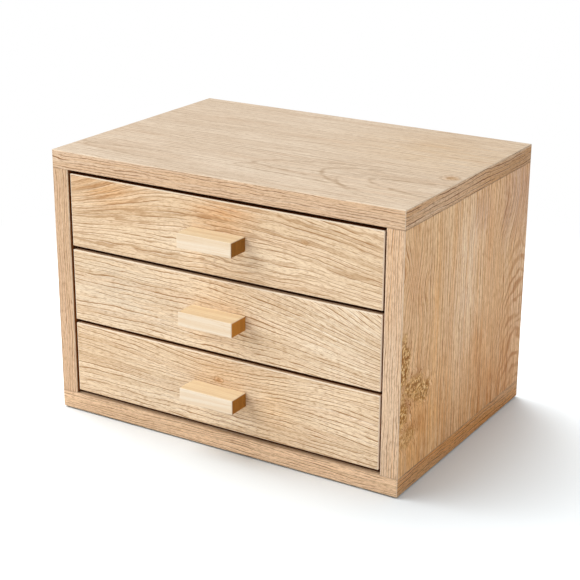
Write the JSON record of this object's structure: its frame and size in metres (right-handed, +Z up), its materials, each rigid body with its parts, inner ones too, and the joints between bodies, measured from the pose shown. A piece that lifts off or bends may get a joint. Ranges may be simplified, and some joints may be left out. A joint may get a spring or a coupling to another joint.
{
  "type": "desktop drawer cabinet",
  "caption": "Low wooden desktop cabinet with flush drawers one above the other, which slide on wooden side runners and have block handles.",
  "frame": {"origin": "on the surface the cabinet stands on, under the middle of the whole object, handles included", "axes": "+X to the right seen from the front, +Z up; the drawer fronts face -Y and the drawers slide out along -Y"},
  "size_m": [0.32, 0.244, 0.226],
  "materials": {
    "oak_carcass": "light oak veneer, matt lacquer",
    "oak_front": "light oak veneer, matt lacquer",
    "pale_wood": "solid pale wood, matt lacquer",
    "inner_wood": "plain solid wood, unfinished",
    "thin_sheet": "thin plywood sheet, unfinished",
    "dowel_wood": "plain beech, unfinished",
    "steel": "bright zinc plated",
    "felt": "thin felt"
  },
  "bodies": {
    "cabinet": {"top_panel": "oak_carcass", "bottom_panel": "oak_carcass", "left_side_panel": "oak_carcass", "right_side_panel": "oak_carcass", "back_panel": "thin_sheet", "carcass_dowels": "dowel_wood", "back_panel_pins": "steel", "foot_pads": "felt", "runner_screws": "steel", "top_left_runner": "dowel_wood", "top_right_runner": "dowel_wood", "middle_left_runner": "dowel_wood", "middle_right_runner": "dowel_wood", "bottom_left_runner": "dowel_wood", "bottom_right_runner": "dowel_wood"},
    "top_drawer": {"top_drawer_front": "oak_front", "top_drawer_handle": "pale_wood", "top_drawer_left_side": "inner_wood", "top_drawer_right_side": "inner_wood", "top_drawer_back": "inner_wood", "top_drawer_bottom": "thin_sheet", "top_drawer_dowels": "dowel_wood", "top_drawer_handle_screws": "steel", "top_drawer_bottom_pins": "steel"},
    "middle_drawer": {"middle_drawer_front": "oak_front", "middle_drawer_handle": "pale_wood", "middle_drawer_left_side": "inner_wood", "middle_drawer_right_side": "inner_wood", "middle_drawer_back": "inner_wood", "middle_drawer_bottom": "thin_sheet", "middle_drawer_dowels": "dowel_wood", "middle_drawer_handle_screws": "steel", "middle_drawer_bottom_pins": "steel"},
    "bottom_drawer": {"bottom_drawer_front": "oak_front", "bottom_drawer_handle": "pale_wood", "bottom_drawer_left_side": "inner_wood", "bottom_drawer_right_side": "inner_wood", "bottom_drawer_back": "inner_wood", "bottom_drawer_bottom": "thin_sheet", "bottom_drawer_dowels": "dowel_wood", "bottom_drawer_handle_screws": "steel", "bottom_drawer_bottom_pins": "steel"}
  },
  "joints": [
    {"name": "top_drawer_slide", "type": "slide", "parent": "cabinet", "child": "top_drawer", "axis": [0, -1, 0], "range_m": [0, 0.14]},
    {"name": "middle_drawer_slide", "type": "slide", "parent": "cabinet", "child": "middle_drawer", "axis": [0, -1, 0], "range_m": [0, 0.14]},
    {"name": "bottom_drawer_slide", "type": "slide", "parent": "cabinet", "child": "bottom_drawer", "axis": [0, -1, 0], "range_m": [0, 0.14]}
  ]
}
